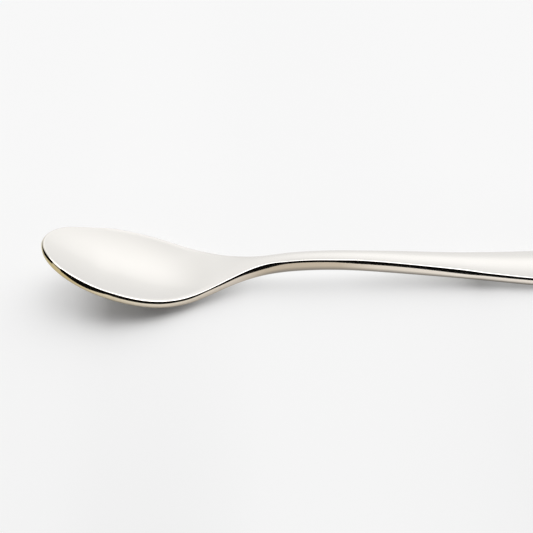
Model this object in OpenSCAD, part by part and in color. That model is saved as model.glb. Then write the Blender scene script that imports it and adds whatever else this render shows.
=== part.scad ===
// Mustard spoon in one piece of polished steel.
// It lies on a table as it rests in use, on the bottom of the bowl and the underside of the handle.
// Lengths are in millimetres and run from the bowl tip towards the handle end.

/* [Overall] */
// Length from the bowl tip to the handle end
overall_length = 132; // [126:1:150]

/* [Bowl] */
// Width across the widest part of the bowl
bowl_width = 24.2; // [21:0.1:27]
// Distance from the tip to the widest part
bowl_widest_at = 17.3; // [15:0.1:19]
// Depth of the hollow below the rim at the widest part
bowl_depth = 1.6; // [1.2:0.1:2.2]
// Distance from the tip at which the hollow starts to run out
hollow_full_to = 22; // [20:0.5:25]
// Thickness of the bowl along its middle
bowl_thickness = 1.7; // [1.5:0.1:2.1]
// Thickness of the rim at the tip, measured upright
rim_thickness = 1.8; // [1.5:0.05:2]
// Height of the rim at the tip
tip_height = 10.3; // [9:0.1:11.5]
// Fall of the rim at the tip for each millimetre of length
tip_fall = 0.39; // [0.32:0.01:0.46]
// Height of the rim where it is lowest
rim_low_height = 2.3; // [2.1:0.05:2.8]
// Distance from the tip to the lowest part of the rim
rim_low_at = 29; // [27.5:0.5:31]
// Bend radius of the rim where it is lowest, seen from the side
rim_low_bend = 19; // [17:1:28]
// Thickness of the rim where it is lowest
rim_low_thickness = 1.5; // [1.2:0.05:1.7]

/* [Neck] */
// Width of the neck at its narrowest
neck_width = 3.7; // [3:0.05:4.4]
// Distance from the tip to the narrowest part
neck_at = 47; // [45:0.1:50]
// Radius of the waist at the neck, seen from above
neck_waist = 160; // [110:10:300]
// Thickness of the sides of the neck
neck_thickness = 2.3; // [2:0.05:2.8]
// Height of the arch between bowl and handle
crest_height = 5.3; // [4.8:0.05:6.4]
// Distance from the tip to the top of the arch
crest_at = 53; // [50:0.5:55]
// Bend radius at the top of the arch
crest_bend = 105; // [85:1:150]

/* [Handle] */
// Distance from the tip to the start of the handle
shank_at = 62; // [58:1:68]
// Thickness of the sides at the start of the handle
shank_thickness = 2.15; // [1.9:0.05:2.5]
// Width of the handle at its widest
handle_width = 13.6; // [12:0.1:15]
// Distance from the tip to the straight part of the flare
flare_at = 88; // [84:1:92]
// Width of the handle at the straight part of the flare
flare_width = 8.9; // [8:0.1:10]
// Growth of the half width along the straight part of the flare
flare_slope = 0.11; // [0.09:0.005:0.13]
// Length of the rounded end behind the widest part
end_length = 12; // [9:0.5:15]
// Distance from the handle end to where the handle touches the table
rest_from_end = 16; // [13:0.5:22]
// Distance from the tip at which the handle reaches its final thickness
thin_at = 92; // [84:1:102]
// Thickness of the sides of the handle from there to its end
handle_thickness = 1.5; // [1.25:0.05:1.8]
// Rise of the handle end above the table
end_lift = 0.3; // [0:0.05:0.8]
// Slope of the domed upper face at the sides of the handle
handle_dome = 0.25; // [0.1:0.01:0.35]

/* [Edges] */
// Height of the rounded upper edge round the bowl tip
tip_edge = 0.85; // [0.5:0.05:1]
// Height of the rounded upper edge where the rim is lowest
rim_edge = 0.36; // [0.2:0.02:0.6]
// Height of the rounded upper edge along the neck and the handle
handle_edge = 0.4; // [0.2:0.02:0.6]
// Height of the rounded lower edge as a share of the side thickness
lower_share = 0.2; // [0.1:0.01:0.25]

/* [Finish] */
// Steps along the rounded bowl tip
tip_steps = 15; // [10:1:18]
// Steps from the widest part of the bowl to the widest part of the handle
body_steps = 46; // [30:1:50]
// Steps along the rounded handle end
end_steps = 9; // [6:1:11]
// Steps across the spoon
cross_steps = 26; // [18:2:28]

/* [Hidden] */
steel = [0.80, 0.77, 0.72];
handle_widest_at = overall_length - end_length;
rest_at = overall_length - rest_from_end;
bowl_half = bowl_width / 2;
handle_half = handle_width / 2;
end_slope = 0.03;
slope_step = 0.02;
least_half_width = 0.01;
rest_samples = 200;

// A knot is [distance from tip, value, slope, bend].
// Between two knots the value follows one fifth degree curve, so slope and bend carry on smoothly.
function smooth_step(x, a, b) =
    let (span = b[0] - a[0])
    let (t = (x - a[0]) / span)
    let (rise = b[1] - a[1])
    let (m0 = a[2] * span)
    let (m1 = b[2] * span)
    let (k0 = a[3] * span * span)
    let (k1 = b[3] * span * span)
    let (c3 = 10 * rise - 6 * m0 - 4 * m1 - 1.5 * k0 + 0.5 * k1)
    let (c4 = -15 * rise + 8 * m0 + 7 * m1 + 1.5 * k0 - k1)
    let (c5 = 6 * rise - 3 * m0 - 3 * m1 - 0.5 * k0 + 0.5 * k1)
    a[1] + t * (m0 + t * (k0 / 2 + t * (c3 + t * (c4 + t * c5))));

function along(x, knots, i = 0) =
    i >= len(knots) - 2 || x < knots[i + 1][0]
        ? smooth_step(x, knots[i], knots[i + 1])
        : along(x, knots, i + 1);

// Plan view: an elliptic tip, a smooth run through neck and flare, and a blunt rounded end.
body_knots = [
    [bowl_widest_at, bowl_half, 0, -bowl_half / pow(bowl_widest_at, 2)],
    [neck_at, neck_width / 2, 0, 1 / neck_waist],
    [flare_at, flare_width / 2, flare_slope, 0],
    [handle_widest_at, handle_half, 0, 0],
];

function half_width_squared(x) =
    x < bowl_widest_at ? pow(bowl_half, 2) * (1 - pow(1 - x / bowl_widest_at, 2))
    : x > handle_widest_at ? pow(handle_half, 2) * (1 - pow((x - handle_widest_at) / end_length, 3))
    : pow(along(x, body_knots), 2);

function half_width_squared_slope(x) =
    (half_width_squared(x + slope_step) - half_width_squared(x - slope_step)) / (2 * slope_step);

// Side view: the line of the upper edge from tip to end.
edge_knots = [
    [0, tip_height, -tip_fall, 0],
    [rim_low_at, rim_low_height, 0, 1 / rim_low_bend],
    [crest_at, crest_height, 0, -1 / crest_bend],
    [rest_at, handle_thickness, 0, 0],
    [overall_length, handle_thickness + end_lift, end_slope, 0],
];

side_knots = [
    [0, rim_thickness, 0, 0],
    [rim_low_at, rim_low_thickness, 0, 0],
    [neck_at, neck_thickness, 0, 0],
    [shank_at, shank_thickness, 0, 0],
    [thin_at, handle_thickness, 0, 0],
    [overall_length, handle_thickness, 0, 0],
];

// Cross section: hollow in the bowl, domed on the handle.
hollow_knots = [
    [0, 1, 0, 0],
    [hollow_full_to, 1, 0, 0],
    [crest_at, 0, 0, 0],
    [overall_length, 0, 0, 0],
];

hollow_bend = bowl_depth / pow(bowl_half, 2);
belly_bend = (bowl_depth + bowl_thickness - rim_thickness) / pow(bowl_half, 2);

function dome_bend(x) =
    let (half = sqrt(max(half_width_squared(x), 0)))
    -handle_dome / (2 * max(half, least_half_width));

function upper_bend(x) =
    let (hollow = along(x, hollow_knots))
    hollow * hollow_bend + (1 - hollow) * dome_bend(x);

function lower_bend(x) = along(x, hollow_knots) * belly_bend;

function sole(x) = along(x, edge_knots) - along(x, side_knots) - lower_bend(x) * half_width_squared(x);

// The spoon settles on its two lowest places, one under the bowl and one under the handle.
function lowest(from, to) =
    let (at = [for (i = [0 : rest_samples]) from + (to - from) * i / rest_samples])
    let (heights = [for (x = at) sole(x)])
    let (low = min(heights))
    [at[search(low, heights)[0]], low];

bowl_rest = lowest(0, neck_at);
handle_rest = lowest(neck_at, overall_length);
settle_slope = (handle_rest[1] - bowl_rest[1]) / (handle_rest[0] - bowl_rest[0]);

function settle(x) = bowl_rest[1] + settle_slope * (x - bowl_rest[0]);

// Edge rounding: one on the side of the spoon, falling to nothing at the inset.
fall_knots = [
    [0, tip_edge, 0, 0],
    [bowl_widest_at / 2, tip_edge, 0, 0],
    [rim_low_at, rim_edge, 0, 0],
    [neck_at, handle_edge, 0, 0],
    [overall_length, handle_edge, 0, 0],
];

function edge_share(x, inside, inset) =
    let (slope = half_width_squared_slope(x))
    let (y_squared = max(half_width_squared(x) - inside, 0))
    let (depth = inside / sqrt(slope * slope + 4 * y_squared + pow(least_half_width, 2)))
    pow(max(1 - depth / inset, 0), 2);

function upper_point(x, y) =
    let (inside = max(half_width_squared(x) - y * y, 0))
    let (fall = along(x, fall_knots))
    let (height = along(x, edge_knots) - upper_bend(x) * inside)
    [x - overall_length / 2, y, height - fall * edge_share(x, inside, fall) - settle(x)];

function lower_point(x, y) =
    let (inside = max(half_width_squared(x) - y * y, 0))
    let (rise = lower_share * along(x, side_knots))
    let (height = along(x, edge_knots) - along(x, side_knots) - lower_bend(x) * inside)
    [x - overall_length / 2, y, height + rise * edge_share(x, inside, rise) - settle(x)];

body_run = handle_widest_at - bowl_widest_at;
stations = concat(
    [for (i = [1 : tip_steps]) bowl_widest_at * (1 - cos(90 * i / tip_steps))],
    [for (i = [1 : body_steps]) bowl_widest_at + body_run * i / body_steps],
    [for (i = [1 : end_steps - 1]) handle_widest_at + end_length * sin(90 * i / end_steps)]
);

function across(x) =
    let (half = sqrt(half_width_squared(x)))
    [for (j = [0 : cross_steps]) half * sin(180 * j / cross_steps - 90)];

module spoon() {
    rows = len(stations);
    row_size = cross_steps + 1;
    sheet = rows * row_size;
    upper = [for (x = stations) for (y = across(x)) upper_point(x, y)];
    lower = [for (x = stations) for (y = across(x)) lower_point(x, y)];
    poles = [
        upper_point(0, 0),
        lower_point(0, 0),
        upper_point(overall_length, 0),
        lower_point(overall_length, 0),
    ];
    tip_up = 2 * sheet;
    tip_down = tip_up + 1;
    end_up = tip_up + 2;
    end_down = tip_up + 3;
    last = (rows - 1) * row_size;
    upper_faces = [
        for (i = [0 : rows - 2]) for (j = [0 : cross_steps - 1])
            let (a = i * row_size + j)
            let (b = a + row_size)
            each [[a, a + 1, b + 1], [a, b + 1, b]]
    ];
    lower_faces = [for (f = upper_faces) [f[0] + sheet, f[2] + sheet, f[1] + sheet]];
    side_faces = [
        for (i = [0 : rows - 2])
            let (a = i * row_size)
            let (b = a + row_size)
            let (c = a + cross_steps)
            let (d = b + cross_steps)
            each [
                [a + sheet, a, b], [a + sheet, b, b + sheet],
                [c + sheet, d + sheet, d], [c + sheet, d, c]
            ]
    ];
    cap_faces = [
        for (j = [0 : cross_steps - 1])
            each [
                [tip_up, j + 1, j],
                [tip_down, j + sheet, j + 1 + sheet],
                [end_up, last + j, last + j + 1],
                [end_down, last + j + 1 + sheet, last + j + sheet]
            ]
    ];
    cap_sides = [
        [tip_down, tip_up, 0], [tip_down, 0, sheet],
        [tip_down, cross_steps + sheet, cross_steps], [tip_down, cross_steps, tip_up],
        [end_down, last + sheet, last], [end_down, last, end_up],
        [end_down, end_up, last + cross_steps], [end_down, last + cross_steps, last + cross_steps + sheet],
    ];
    color(steel)
        polyhedron(
            points = concat(upper, lower, poles),
            faces = concat(upper_faces, lower_faces, side_faces, cap_faces, cap_sides),
            convexity = 6
        );
}

spoon();
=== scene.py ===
import math

import bpy
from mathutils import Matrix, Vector


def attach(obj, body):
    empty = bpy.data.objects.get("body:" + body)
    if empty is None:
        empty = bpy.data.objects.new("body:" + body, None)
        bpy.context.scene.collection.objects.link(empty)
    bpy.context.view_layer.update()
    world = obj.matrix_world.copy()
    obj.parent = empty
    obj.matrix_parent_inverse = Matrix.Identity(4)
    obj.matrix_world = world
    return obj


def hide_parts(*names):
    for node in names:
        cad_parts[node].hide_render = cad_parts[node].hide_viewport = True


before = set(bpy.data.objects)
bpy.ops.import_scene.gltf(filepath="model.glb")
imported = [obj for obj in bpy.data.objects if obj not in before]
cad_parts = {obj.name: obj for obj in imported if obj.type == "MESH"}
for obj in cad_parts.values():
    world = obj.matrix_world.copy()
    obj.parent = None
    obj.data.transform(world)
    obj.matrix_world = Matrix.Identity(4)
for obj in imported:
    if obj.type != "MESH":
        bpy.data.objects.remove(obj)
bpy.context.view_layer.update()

print("frame: loaded", list(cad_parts))


class Wire:  # one socket of a node tree; arithmetic on it adds Math nodes
    def __init__(self, tree, socket=None):
        self.tree = tree
        self.socket = socket

    def node(self, kind, settings=None, sockets=None, out=0):
        made = self.tree.nodes.new(kind)
        for key, value in (settings or {}).items():
            if key == "stops":  # a ramp's (place, level or colour) pairs
                ramp = made.color_ramp.elements
                while len(ramp) < len(value):
                    ramp.new(0.5)
                for stop, (place, level) in zip(ramp, value):
                    stop.position = place
                    colour = level if isinstance(level, tuple) else (level, level, level)
                    stop.color = (*colour, 1.0)
            else:
                setattr(made, key, value)
        for key, value in (sockets or {}).items():
            if isinstance(value, Wire):
                self.tree.links.new(value.socket, made.inputs[key])
            else:
                made.inputs[key].default_value = value
        return Wire(self.tree, made.outputs[out] if len(made.outputs) else None)

    def tap(self, out):  # another output of the same node
        return Wire(self.tree, self.socket.node.outputs[out])

    def math(self, operation, *values, clamp=False):
        settings = {"operation": operation, "use_clamp": clamp}
        return self.node("ShaderNodeMath", settings, dict(enumerate(values)))

    def __add__(self, other):
        return self.math("ADD", self, other)

    def __radd__(self, other):
        return self.math("ADD", other, self)

    def __sub__(self, other):
        return self.math("SUBTRACT", self, other)

    def __rsub__(self, other):
        return self.math("SUBTRACT", other, self)

    def __mul__(self, other):
        return self.math("MULTIPLY", self, other)

    def __rmul__(self, other):
        return self.math("MULTIPLY", other, self)

    def __truediv__(self, other):
        return self.math("DIVIDE", self, other)

    def __rtruediv__(self, other):
        return self.math("DIVIDE", other, self)

    def __lt__(self, other):
        return self.math("LESS_THAN", self, other)

    def __gt__(self, other):
        return self.math("GREATER_THAN", self, other)

    def share(self, low, high):  # 0 below low, 1 above high
        return self.math("DIVIDE", self - low, high - low, clamp=True)

    def ease(self, low, high, fromValue, toValue):  # a smooth step between two places
        return self.node("ShaderNodeMapRange", {"interpolation_type": "SMOOTHERSTEP"}, {
            "Value": self, "From Min": low, "From Max": high,
            "To Min": fromValue, "To Max": toValue,
        })

    def split(self):  # the three parts of a vector
        parts = self.node("ShaderNodeSeparateXYZ", None, {0: self})
        return parts.tap("X"), parts.tap("Y"), parts.tap("Z")


def direction(turn, rise):  # degrees round from +X and up from the table
    turn, rise = math.radians(turn), math.radians(rise)
    level = math.cos(rise)
    return Vector((math.cos(turn) * level, math.sin(turn) * level, math.sin(rise)))


# spoon: lengths in millimetres, places counted from the bowl's tip
spoonSizes = {
    "overall length": 132.0,
    "bowl width": 24.2,
    "bowl widest at": 17.3,
    "bowl depth": 1.6,
    "hollow full to": 22.0,
    "bowl thickness": 1.7,
    "rim thickness": 1.8,
    "tip height": 10.3,
    "tip fall": 0.39,
    "rim low height": 2.3,
    "rim low at": 29.0,
    "rim low bend": 19.0,
    "rim low thickness": 1.5,
    "neck width": 3.7,
    "neck at": 47.0,
    "neck waist": 160.0,
    "neck thickness": 2.3,
    "crest height": 5.3,
    "crest at": 53.0,
    "crest bend": 105.0,
    "shank at": 62.0,
    "shank thickness": 2.15,
    "handle width": 13.6,
    "flare at": 88.0,
    "flare width": 8.9,
    "flare slope": 0.11,
    "end length": 12.0,
    "rest from end": 16.0,
    "thin at": 92.0,
    "handle thickness": 1.5,
    "end lift": 0.3,
    "end slope": 0.03,
    "handle dome": 0.30,
    "shoulder inset": 1.6,
    "shoulder lift": 0.9,
    "lower edge": 0.15,  # share of the side's thickness
    # (place, fall of the rounded upper edge)
    "edge fall": [
        (0, 0.78), (3, 0.64), (8, 1.04), (14, 0.60), (19, 0.57), (22, 0.52), (27, 0.42),
        (31.5, 0.28), (36, 0.39), (42, 0.63), (48, 0.34), (55, 0.35), (62, 0.56), (70, 0.53),
        (81, 0.62), (86, 0.44), (95, 0.38),
    ],
    # (place, how far in the rounding starts as a share of its fall)
    "edge inset": [(10, 0.88), (21, 1.42), (25, 1.35), (32, 1.16)],
    # (place, fall of the broad shoulder inside the bowl's rim)
    "shoulder fall": [(9, 0.0), (15, 0.16), (30, 0.18), (37, 0.0)],
}
spoonInputs = [label for label, value in spoonSizes.items() if isinstance(value, float)]
spoonMesh = {
    "rows": 420,
    "across": 90,
    "tip part": 0.22,  # shares of the rows
    "body part": 0.85,
    "slope step": 0.02,
    "least slope squared": 0.0001,
    "least half width": 0.01,
    "lowest within": 1e-5,
    "metre": 0.001,
    "weld": 2e-6,  # in metres
}


def fifthDegree(x, start, stop):
    # rise over one run between two knots (place, value, slope, bend), flat outside it
    span = stop[0] - start[0]
    t = x.math("DIVIDE", x - start[0], span, clamp=True)
    rise = stop[1] - start[1]
    m0, m1 = start[2] * span, stop[2] * span
    k0, k1 = start[3] * span * span, stop[3] * span * span
    c3 = 10 * rise - 6 * m0 - 4 * m1 - 1.5 * k0 + 0.5 * k1
    c4 = -15 * rise + 8 * m0 + 7 * m1 + 1.5 * k0 - k1
    c5 = 6 * rise - 3 * m0 - 3 * m1 - 0.5 * k0 + 0.5 * k1
    return t * (m0 + t * (0.5 * k0 + t * (c3 + t * (c4 + t * c5))))


def along(x, knots):  # a smooth line through all the knots
    total = knots[0][1]
    for start, stop in zip(knots, knots[1:]):
        total = total + fifthDegree(x, start, stop)
    return total


def eased(x, places):  # level at each place, with smooth steps between
    total = places[0][1]
    for (place0, level0), (place1, level1) in zip(places, places[1:]):
        total = total + x.ease(place0, place1, 0.0, level1 - level0)
    return total


def halfWidthSquared(x, size):
    bowlHalf = size["bowl width"] * 0.5
    bowlWidest = size["bowl widest at"]
    handleHalf = size["handle width"] * 0.5
    handleWidest = size["overall length"] - size["end length"]
    body = along(x, [
        (bowlWidest, bowlHalf, 0, -1 * bowlHalf / (bowlWidest * bowlWidest)),
        (size["neck at"], size["neck width"] * 0.5, 0, 1 / size["neck waist"]),
        (size["flare at"], size["flare width"] * 0.5, size["flare slope"], 0),
        (handleWidest, handleHalf, 0, 0),
    ])
    fromTip = 1 - x / bowlWidest
    fromTip = x.math("MAXIMUM", fromTip, 0.0)
    intoEnd = (x - handleWidest) / size["end length"]
    intoEnd = x.math("MAXIMUM", intoEnd, 0.0)
    squared = body * body * (1 - fromTip * fromTip) * (1 - intoEnd * intoEnd * intoEnd)
    return x.math("MAXIMUM", squared, 0.0)


def flatSheet(start):
    # columns run once round the section, over the top and back underneath
    half = spoonMesh["across"]
    ring = 2 * half + 2
    sheet = start.node("GeometryNodeMeshGrid", None, {
        "Size X": 1.0, "Size Y": 1.0,
        "Vertices X": spoonMesh["rows"], "Vertices Y": ring + 1,
    })
    flatX, flatY, _ = start.node("GeometryNodeInputPosition").split()
    column = start.math("ROUND", (flatY + 0.5) * ring)
    column = column - (column > ring - 0.5) * ring
    below = column > half + 0.5
    across = (below * (2 * half + 1 - column) + (1 - below) * column) / half
    return sheet, flatX + 0.5, (across - 0.5) * math.pi, below


def stations(start, row, size):  # closer together round the tip and the end
    tipTo, bodyTo = spoonMesh["tip part"], spoonMesh["body part"]
    quarter = math.pi / 2
    handleWidest = size["overall length"] - size["end length"]
    return (
        size["bowl widest at"] * (1 - start.math("COSINE", row.share(0, tipTo) * quarter))
        + (handleWidest - size["bowl widest at"]) * row.share(tipTo, bodyTo)
        + size["end length"] * start.math("SINE", row.share(bodyTo, 1) * quarter)
    )


def sideView(x, size):  # height of the upper edge
    restAt = size["overall length"] - size["rest from end"]
    restHeight = size["handle thickness"]
    return along(x, [
        (0, size["tip height"], -1 * size["tip fall"], 0),
        (size["rim low at"], size["rim low height"], 0, 1 / size["rim low bend"]),
        (size["crest at"], size["crest height"], 0, -1 / size["crest bend"]),
        (restAt, restHeight, 0, 0),
        (size["overall length"], restHeight + size["end lift"], size["end slope"], 0),
    ])


def spoonSection(start, x, turn, below, size):
    squared = halfWidthSquared(x, size)
    step = spoonMesh["slope step"]
    ahead, behind = halfWidthSquared(x + step, size), halfWidthSquared(x - step, size)
    squaredSlope = (ahead - behind) / (2 * step)
    width = start.math("SQRT", squared)
    y = width * start.math("SINE", turn)
    cosine = start.math("COSINE", turn)
    inside = squared * cosine * cosine

    # side thickness, and how far the upper and lower faces bend
    side = eased(x, [
        (0, size["rim thickness"]),
        (size["rim low at"], size["rim low thickness"]),
        (size["neck at"], size["neck thickness"]),
        (size["shank at"], size["shank thickness"]),
        (size["thin at"], size["handle thickness"]),
    ])
    bowlSquared = size["bowl width"] * size["bowl width"] * 0.25
    hollow = size["bowl depth"] / bowlSquared
    belly = (size["bowl depth"] + size["bowl thickness"] - size["rim thickness"]) / bowlSquared
    leastHalf = spoonMesh["least half width"]
    dome = -0.5 * size["handle dome"] / start.math("MAXIMUM", width, leastHalf)
    bowlEnds = size["hollow full to"], size["crest at"]
    upper = x.ease(*bowlEnds, hollow, 0.0) + x.ease(*bowlEnds, 0.0, 1.0) * dome
    lower = x.ease(*bowlEnds, belly, 0.0)

    # rounded edges above and below, by the depth in from the side
    outlineSlope = squaredSlope * squaredSlope + 4 * y * y + spoonMesh["least slope squared"]
    depth = inside / start.math("SQRT", outlineSlope)

    def rounding(inset):  # 1 on the side, 0 from the inset inwards
        left = 1 - start.math("DIVIDE", depth, inset, clamp=True)
        return left * left

    fall = eased(x, spoonSizes["edge fall"])
    upperEdge = rounding(eased(x, spoonSizes["edge inset"]) * fall)
    lowerEdge = rounding(size["lower edge"] * side)
    shoulder = rounding(size["shoulder inset"]) - size["shoulder lift"]
    shoulder = shoulder * eased(x, spoonSizes["shoulder fall"])
    edge = sideView(x, size)
    top = edge - upper * inside - upperEdge * fall - shoulder
    bottom = edge - side - lower * inside + lowerEdge * size["lower edge"] * side
    point = start.node("ShaderNodeCombineXYZ", None, {
        "X": x, "Y": y, "Z": below * bottom + (1 - below) * top,
    })
    return point, below * lowerEdge + (1 - below) * upperEdge


def settleOnTable(start, shaped, size):
    # the spoon rests on its two lowest places, under the bowl and under the handle
    x, y, z = start.node("GeometryNodeInputPosition").split()

    def statistic(part, value, out):
        settings = {"data_type": "FLOAT", "domain": "POINT"}
        return start.node("GeometryNodeAttributeStatistic", settings, {
            "Geometry": shaped, "Selection": part, "Attribute": value,
        }, out)

    def lowest(part):
        low = statistic(part, z, "Min")
        return statistic(part * (z < low + spoonMesh["lowest within"]), x, "Mean"), low

    bowlAt, bowlLow = lowest(x < size["neck at"])
    handleAt, handleLow = lowest(x > size["neck at"])
    lean = (handleLow - bowlLow) / (handleAt - bowlAt)
    metre = spoonMesh["metre"]
    placed = start.node("ShaderNodeCombineXYZ", None, {
        "X": (x - size["overall length"] * 0.5) * metre,
        "Y": y * metre,
        "Z": (z - bowlLow - lean * (x - bowlAt)) * metre,
    })
    return start.node("GeometryNodeSetPosition", None, {"Geometry": shaped, "Position": placed})


def spoonTree(name, material):
    tree = bpy.data.node_groups.new(name, "GeometryNodeTree")
    for label in spoonInputs:
        tree.interface.new_socket(label, in_out="INPUT", socket_type="NodeSocketFloat")
    tree.interface.new_socket("Geometry", in_out="OUTPUT", socket_type="NodeSocketGeometry")
    start = Wire(tree)
    sizes = start.node("NodeGroupInput")
    size = {label: sizes.tap(label) for label in spoonInputs}

    shaped, row, turn, below = flatSheet(start)
    x = stations(start, row, size)
    point, edgeBand = spoonSection(start, x, turn, below, size)
    # edgeBand and underside are the masks for the steel's painted reflection and painted shade
    for label, value in (("edgeBand", edgeBand), ("underside", below)):  # the steel reads these
        settings = {"data_type": "FLOAT", "domain": "POINT"}
        shaped = start.node("GeometryNodeStoreNamedAttribute", settings, {
            "Geometry": shaped, "Name": label, "Value": value,
        })
    shaped = start.node("GeometryNodeSetPosition", None, {"Geometry": shaped, "Position": point})
    shaped = settleOnTable(start, shaped, size)
    for kind, sockets in (
        ("GeometryNodeMergeByDistance", {"Distance": spoonMesh["weld"]}),
        ("GeometryNodeSetShadeSmooth", {}),
        ("GeometryNodeRealizeInstances", {}),
        ("GeometryNodeSetMaterial", {"Material": material}),
        ("NodeGroupOutput", {}),
    ):
        shaped = start.node(kind, None, {"Geometry": shaped, **sockets})
    return tree


def makePiece(name, tree, sizes):
    piece = bpy.data.objects.new(name, bpy.data.meshes.new(name + "Start"))
    bpy.context.scene.collection.objects.link(piece)
    shape = piece.modifiers.new("shape", "NODES")
    shape.node_group = tree
    for item in tree.interface.items_tree:
        if item.in_out == "INPUT":
            shape[item.identifier] = sizes[item.name]
    graph = bpy.context.evaluated_depsgraph_get()
    mesh = bpy.data.meshes.new_from_object(
        piece.evaluated_get(graph), preserve_all_data_layers=True, depsgraph=graph
    )
    piece.modifiers.remove(shape)
    mesh.name = name
    piece.data = mesh
    return piece


# polished steel: bright faces; the edge and side carry painted reflection and painted shade,
# golden at the tip and darker at the neck, with a painted dark shade on the handle's lower edge;
# faint polishing marks along the spoon
steelFinish = {
    "face": (0.685, 0.668, 0.639, 1.0),
    "face brighter": (0.695, 0.678, 0.651, 1.0),
    # colour of the upper edge and the side along the edge run, which is in metres: painted
    # reflection of the floor in front and painted shade, golden at the tip, darker at the neck,
    # paler on the handle
    "edge": [
        (0.00, (0.51, 0.425, 0.21)), (0.05, (0.58, 0.465, 0.245)), (0.10, (0.72, 0.615, 0.42)),
        (0.19, (0.75, 0.67, 0.54)), (0.37, (0.72, 0.64, 0.55)), (0.43, (0.565, 0.48, 0.37)),
        (0.57, (0.59, 0.50, 0.39)), (0.64, (0.80, 0.72, 0.62)), (0.80, (0.88, 0.81, 0.72)),
    ],
    "edge run": (-0.066, 0.034),
    # painted shade: a dark colour on the lower edge of the handle, standing in for the shadow
    # mirrored there
    "lower edge": (0.28, 0.255, 0.225, 1.0),
    "lower edge shade from": (0.50, 1.0),
    "lower edge shade along": (0.38, 0.46),
    "lower edge shade share": (0.1, 1.0),
    "roughness": 0.08,
    "mark scale": (60.0, 2200.0, 2200.0),
    "mark detail": 3.0,
    "mark depth": 0.02,
    "cloud scale": 90.0,
    "cloud detail": 2.0,
    "cloud from": (0.3, 0.7),
    "cloud depth": 0.04,
}


def newMaterial(name):
    material = bpy.data.materials.new(name)
    material.use_nodes = True
    material.node_tree.nodes.clear()
    return material, Wire(material.node_tree)


def polishedSteel():
    material, start = newMaterial("polishedSteel")
    finish = steelFinish
    spot = start.node("ShaderNodeTexCoord", None, None, "Object")
    edgeBand = start.node("ShaderNodeAttribute", {"attribute_name": "edgeBand"}, None, "Fac")
    underside = start.node("ShaderNodeAttribute", {"attribute_name": "underside"}, None, "Fac")
    stretched = start.node("ShaderNodeMapping", None, {
        "Vector": spot, "Scale": finish["mark scale"],
    })
    marks = start.node("ShaderNodeTexNoise", None, {
        "Vector": stretched, "Scale": 1.0, "Detail": finish["mark detail"],
    })
    cloud = start.node("ShaderNodeTexNoise", None, {
        "Vector": spot, "Scale": finish["cloud scale"], "Detail": finish["cloud detail"],
    })

    def mixed(factor, first, second):
        return start.node("ShaderNodeMix", {"data_type": "RGBA"}, {
            "Factor": factor, "A": first, "B": second,
        }, "Result")

    # painted reflection and shade: the edge colour changes along the spoon, and the handle's
    # lower edge is painted dark
    down = spot.split()[0].share(*finish["edge run"])
    edge = start.node("ShaderNodeValToRGB", {"stops": finish["edge"]}, {"Fac": down})
    # painted shade on the lower edge, only along the handle and only on the underside
    paintedLowerShade = down.ease(*finish["lower edge shade along"], *finish["lower edge shade share"])
    paintedLowerShade = underside.share(*finish["lower edge shade from"]) * paintedLowerShade
    edge = mixed(paintedLowerShade, edge, finish["lower edge"])
    face = mixed(cloud.share(*finish["cloud from"]), finish["face"], finish["face brighter"])
    rough = finish["roughness"] + (marks - 0.5) * finish["mark depth"]
    # the painted edge colour covers the rounded edges and the side, by the edgeBand mask
    surface = start.node("ShaderNodeBsdfPrincipled", None, {
        "Base Color": mixed(edgeBand, face, edge), "Metallic": 1.0,
        "Roughness": rough + (cloud - 0.5) * finish["cloud depth"],
    })
    start.node("ShaderNodeOutputMaterial", None, {"Surface": surface})
    return material


spoon = makePiece("spoonBody", spoonTree("spoonShape", polishedSteel()), spoonSizes)
print("spoon: made,", len(spoon.data.vertices), "points,", len(spoon.data.polygons), "faces")
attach(spoon, "root")
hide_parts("spoon")


# pale floor with a painted glow that lightens the spoon's shadow: (place along the painted glow
# run, share of the glow)
floorSizes = {
    "half side": 6.0,
    "below": 0.00002,
    # painted light: the floor's colour grows lighter towards the back
    "colour": [(0.0, 0.92), (1.0, 0.995)],
    "colour run": (-0.08, 0.04),
    "roughness": 1.0,
    "painted glow colour": (0.93, 0.93, 0.93, 1.0),
    "painted glow run": (-0.08, 0.04),
    "glow": [
        (0.11, 0.44), (0.165, 0.36), (0.225, 0.05), (0.30, 0.035), (0.345, 0.10), (0.395, 0.30),
        (0.445, 0.60), (0.48, 0.65), (0.60, 0.66), (0.72, 0.51), (0.78, 0.36), (0.82, 0.17),
        (0.855, 0.26), (0.89, 0.25), (0.92, 0.30),
    ],
}


def seenRays(start):  # 1 for what the camera sees, straight or in polished steel
    rays = start.node("ShaderNodeLightPath", None, None, "Is Camera Ray")
    seen = start.math("MAXIMUM", rays, rays.tap("Is Glossy Ray"))
    return start.math("MAXIMUM", seen, rays.tap("Is Transmission Ray"))


def sheetObject(name, points, faces, material):
    mesh = bpy.data.meshes.new(name)
    mesh.from_pydata(points, [], faces)
    mesh.materials.append(material)
    made = bpy.data.objects.new(name, mesh)
    bpy.context.scene.collection.objects.link(made)
    return made


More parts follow.
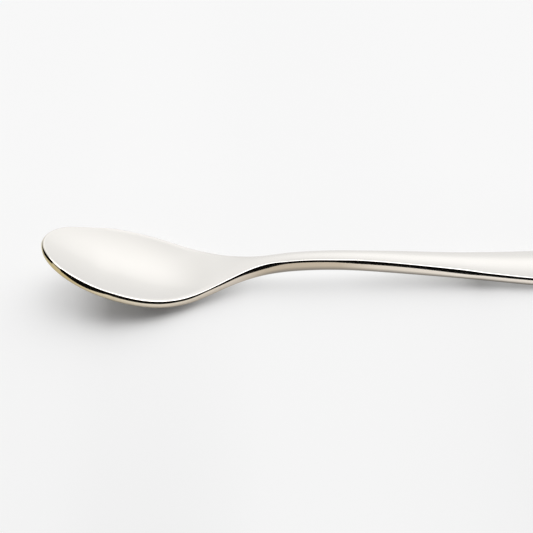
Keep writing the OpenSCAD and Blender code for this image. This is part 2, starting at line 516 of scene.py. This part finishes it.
def floorMaterial():
    material, start = newMaterial("paleFloor")
    x, y, _ = start.node("ShaderNodeTexCoord", None, None, "Object").split()
    down, back = x.share(*floorSizes["painted glow run"]), y.share(*floorSizes["colour run"])
    # painted light: the glow is strongest under the neck and lightens the shadow there
    share = start.node("ShaderNodeValToRGB", {"stops": floorSizes["glow"]}, {"Fac": down})
    pale = start.node("ShaderNodeValToRGB", {"stops": floorSizes["colour"]}, {"Fac": back})
    plain = start.node("ShaderNodeBsdfPrincipled", None, {
        "Base Color": pale, "Roughness": floorSizes["roughness"], "Specular IOR Level": 0.0,
    })
    glow = start.node("ShaderNodeEmission", None, {
        "Color": floorSizes["painted glow colour"], "Strength": 1.0,
    })
    surface = start.node("ShaderNodeMixShader", None, {
        0: share * seenRays(start), 1: plain, 2: glow,
    })
    start.node("ShaderNodeOutputMaterial", None, {"Surface": surface})
    return material


def paleFloor():
    reach, under = floorSizes["half side"], -floorSizes["below"]
    sides = ((-1, -1), (1, -1), (1, 1), (-1, 1))
    corners = [(reach * sideX, reach * sideY, under) for sideX, sideY in sides]
    return sheetObject("floor", corners, [(0, 1, 2, 3)], floorMaterial())


# dark cards on the camera's side and low at the left, seen only in the steel, where they
# draw the dark line along the edge: (azimuth, lowest, highest) in degrees
cardSizes = {
    "radius": 1.0,
    "front": [
        (209, 15, 72), (216, 15, 74), (244, 15, 74), (258, 22, 72), (284, 22, 72),
        (315, 22, 70), (346, 22, 60),
    ],
    "left": [
        (122, 0, 5), (138, 0, 11), (145, 0, 19), (149, 0, 26), (157, 0, 33),
        (163, 1, 38), (170, 2, 43), (178, 3, 49), (187, 5, 52),
    ],
    "column": 3.0,
    "rows": 18,
    "colour": (0.004, 0.004, 0.004, 1.0),
    "roughness": 0.9,
}


def cardMaterial():
    material, start = newMaterial("cardBlack")
    surface = start.node("ShaderNodeBsdfPrincipled", None, {
        "Base Color": cardSizes["colour"], "Roughness": cardSizes["roughness"],
        "Specular IOR Level": 0.0,
    })
    start.node("ShaderNodeOutputMaterial", None, {"Surface": surface})
    return material


def darkCard(name, material):
    points, faces, columns = [], [], []
    rows, outline = cardSizes["rows"], cardSizes[name]
    for first, last in zip(outline, outline[1:]):
        steps = max(1, round((last[0] - first[0]) / cardSizes["column"]))
        for i in range(steps + (last == outline[-1])):
            columns.append([a + (b - a) * i / steps for a, b in zip(first, last)])
    for turn, low, high in columns:
        for j in range(rows + 1):
            points.append(direction(turn, low + (high - low) * j / rows) * cardSizes["radius"])
    for i in range(len(columns) - 1):
        for j in range(rows):
            a = i * (rows + 1) + j
            faces.append((a, a + 1, a + rows + 2, a + rows + 1))
    made = sheetObject(name + "Card", points, faces, material)
    made.visible_camera = False
    made.visible_diffuse = False
    made.visible_shadow = False
    return made


floor = paleFloor()
cardBlack = cardMaterial()
cards = [darkCard(name, cardBlack) for name in ("front", "left")]
print("stage: floor and cards made")

# a broad soft key behind the spoon lights the floor; what is seen, straight or in the steel,
# is a pale studio with a backdrop low down, a brighter panel behind and a strip overhead
studioLight = {
    "sky": [  # (height, level)
        (0.25, 1.01), (0.40, 1.07), (0.54, 1.13), (0.70, 1.16), (0.80, 1.12), (0.90, 1.06),
    ],
    "sky most": 2.0,  # ramp colours stop at 1, so levels are kept as shares of this
    "front share": 0.2,
    "front to back": (-0.3, 0.3),
    "overhead level": 2.4,
    "overhead from": (0.928, 0.958),
    "overhead ends": (0.70, 0.86),
    "panel level": 0.29,
    "panel turn": 72.0,
    "panel rise": 32.5,
    "panel width": 19.6,
    "panel height": 15.0,
    "panel focus": 0.7,
    "key level": 3.01,
    "key turn": 85.0,
    "key rise": 43.0,
    "key focus": 3.25,
    "backdrop level": 1.02,
    "backdrop to": (0.34, 0.42),
    "least square": 1e-6,
}


def mirroredStudio(start, x, y, z):
    light = studioLight
    height = start.math("MAXIMUM", z, 0.0)
    shares = [(place, level / light["sky most"]) for place, level in light["sky"]]
    sky = start.node("ShaderNodeValToRGB", {"stops": shares}, {"Fac": height})
    front = y.ease(*light["front to back"], light["front share"], 1.0)
    upright = height * height + y * y + light["least square"]
    upright = height / start.math("SQRT", upright)
    overhead = upright.ease(*light["overhead from"], 0.0, light["overhead level"])
    overhead = overhead * height.ease(*light["overhead ends"], 0.0, 1.0)
    studio = sky * light["sky most"] * front + overhead
    backdrop = height.ease(*light["backdrop to"], 1.0, 0.0)
    turn = start.math("DEGREES", start.math("ARCTAN2", y, x))
    rise = start.math("DEGREES", start.math("ARCSINE", z))
    offTurn = (turn - light["panel turn"]) / light["panel width"]
    offRise = (rise - light["panel rise"]) / light["panel height"]
    away = offTurn * offTurn + offRise * offRise
    panel = start.math("EXPONENT", -light["panel focus"] * away) * light["panel level"]
    return studio + (light["backdrop level"] - studio) * backdrop + panel


def studioWorld():
    world = bpy.data.worlds.new("studio")
    world.use_nodes = True
    world.node_tree.nodes.clear()
    start = Wire(world.node_tree)
    x, y, z = start.node("ShaderNodeTexCoord", None, None, "Generated").split()
    mirrored = mirroredStudio(start, x, y, z)
    key = direction(studioLight["key turn"], studioLight["key rise"])
    facing = x * key.x + y * key.y + z * key.z
    soft = start.math("EXPONENT", (facing - 1) * studioLight["key focus"])
    soft = soft * studioLight["key level"]
    glow = start.node("ShaderNodeBackground", None, {
        "Color": (1.0, 1.0, 1.0, 1.0), "Strength": soft + (mirrored - soft) * seenRays(start),
    })
    start.node("ShaderNodeOutputWorld", None, {"Surface": glow})
    bpy.context.scene.world = world


studioWorld()
print("light: studio world made")

# camera at the photograph's viewing angle, turned in degrees from +X
cameraPlace = {
    "turn": -92.5,
    "rise": 33.0,
    "distance": 0.350,
    "target": (-0.02276, 0.00474, 0.0),
    "lens": 120.0,
    "sensor": 36.0,
    "clip": (0.01, 50.0),
}


def placeCamera():
    data = bpy.data.cameras.new("camera")
    data.lens = cameraPlace["lens"]
    data.sensor_width = cameraPlace["sensor"]
    data.clip_start, data.clip_end = cameraPlace["clip"]
    camera = bpy.data.objects.new("camera", data)
    bpy.context.scene.collection.objects.link(camera)
    back = direction(cameraPlace["turn"], cameraPlace["rise"])
    camera.location = Vector(cameraPlace["target"]) + back * cameraPlace["distance"]
    camera.rotation_euler = back.to_track_quat("Z", "Y").to_euler()
    bpy.context.scene.camera = camera


placeCamera()
bpy.context.scene.view_settings.view_transform = "Standard"
print("camera: placed")
